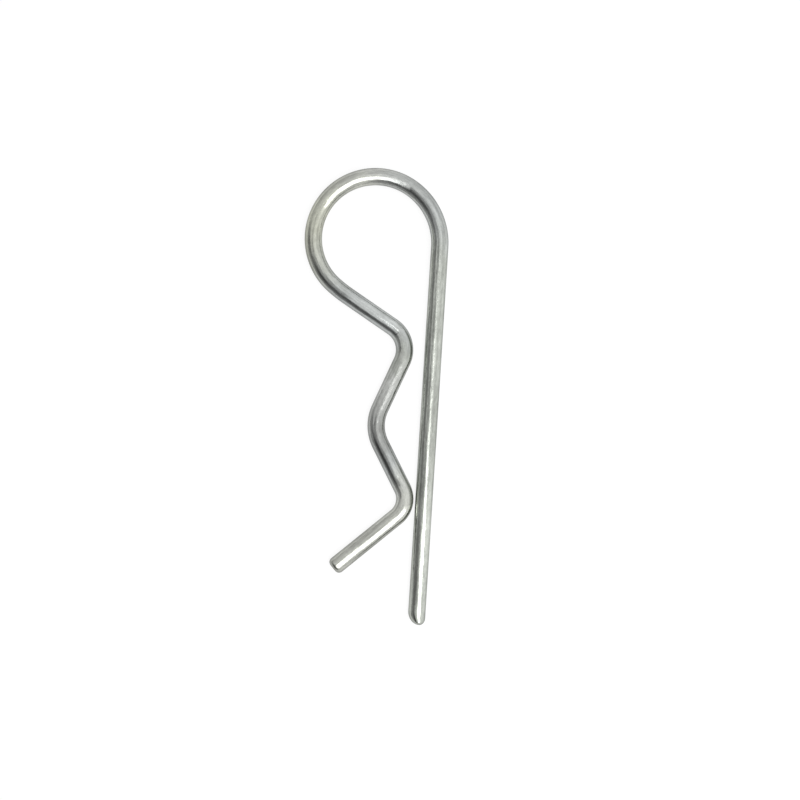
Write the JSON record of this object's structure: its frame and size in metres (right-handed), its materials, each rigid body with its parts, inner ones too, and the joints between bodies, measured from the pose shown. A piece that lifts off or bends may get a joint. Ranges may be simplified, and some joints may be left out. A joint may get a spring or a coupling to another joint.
{
  "type": "hitch r clip pin",
  "caption": "Bent round-wire clip: its straight leg goes through a cross hole in a shaft and its waved leg springs round the outside to lock it.",
  "frame": {"origin": "where the middle line of the straight leg crosses the axis of the held shaft, halfway through the thickness of the wire", "axes": "+Y along the straight leg towards the loop, +Z square to the flat clip and along the held shaft, so the waved leg and the loop lie on the -X side of the straight leg"},
  "size_m": [0.0264, 0.0832, 0.0032],
  "materials": {
    "zinc_wire": "bright zinc plate over drawn spring wire, faintly streaked along its length"
  },
  "bodies": {
    "root": {"r_clip": "zinc_wire"}
  },
  "joints": []
}
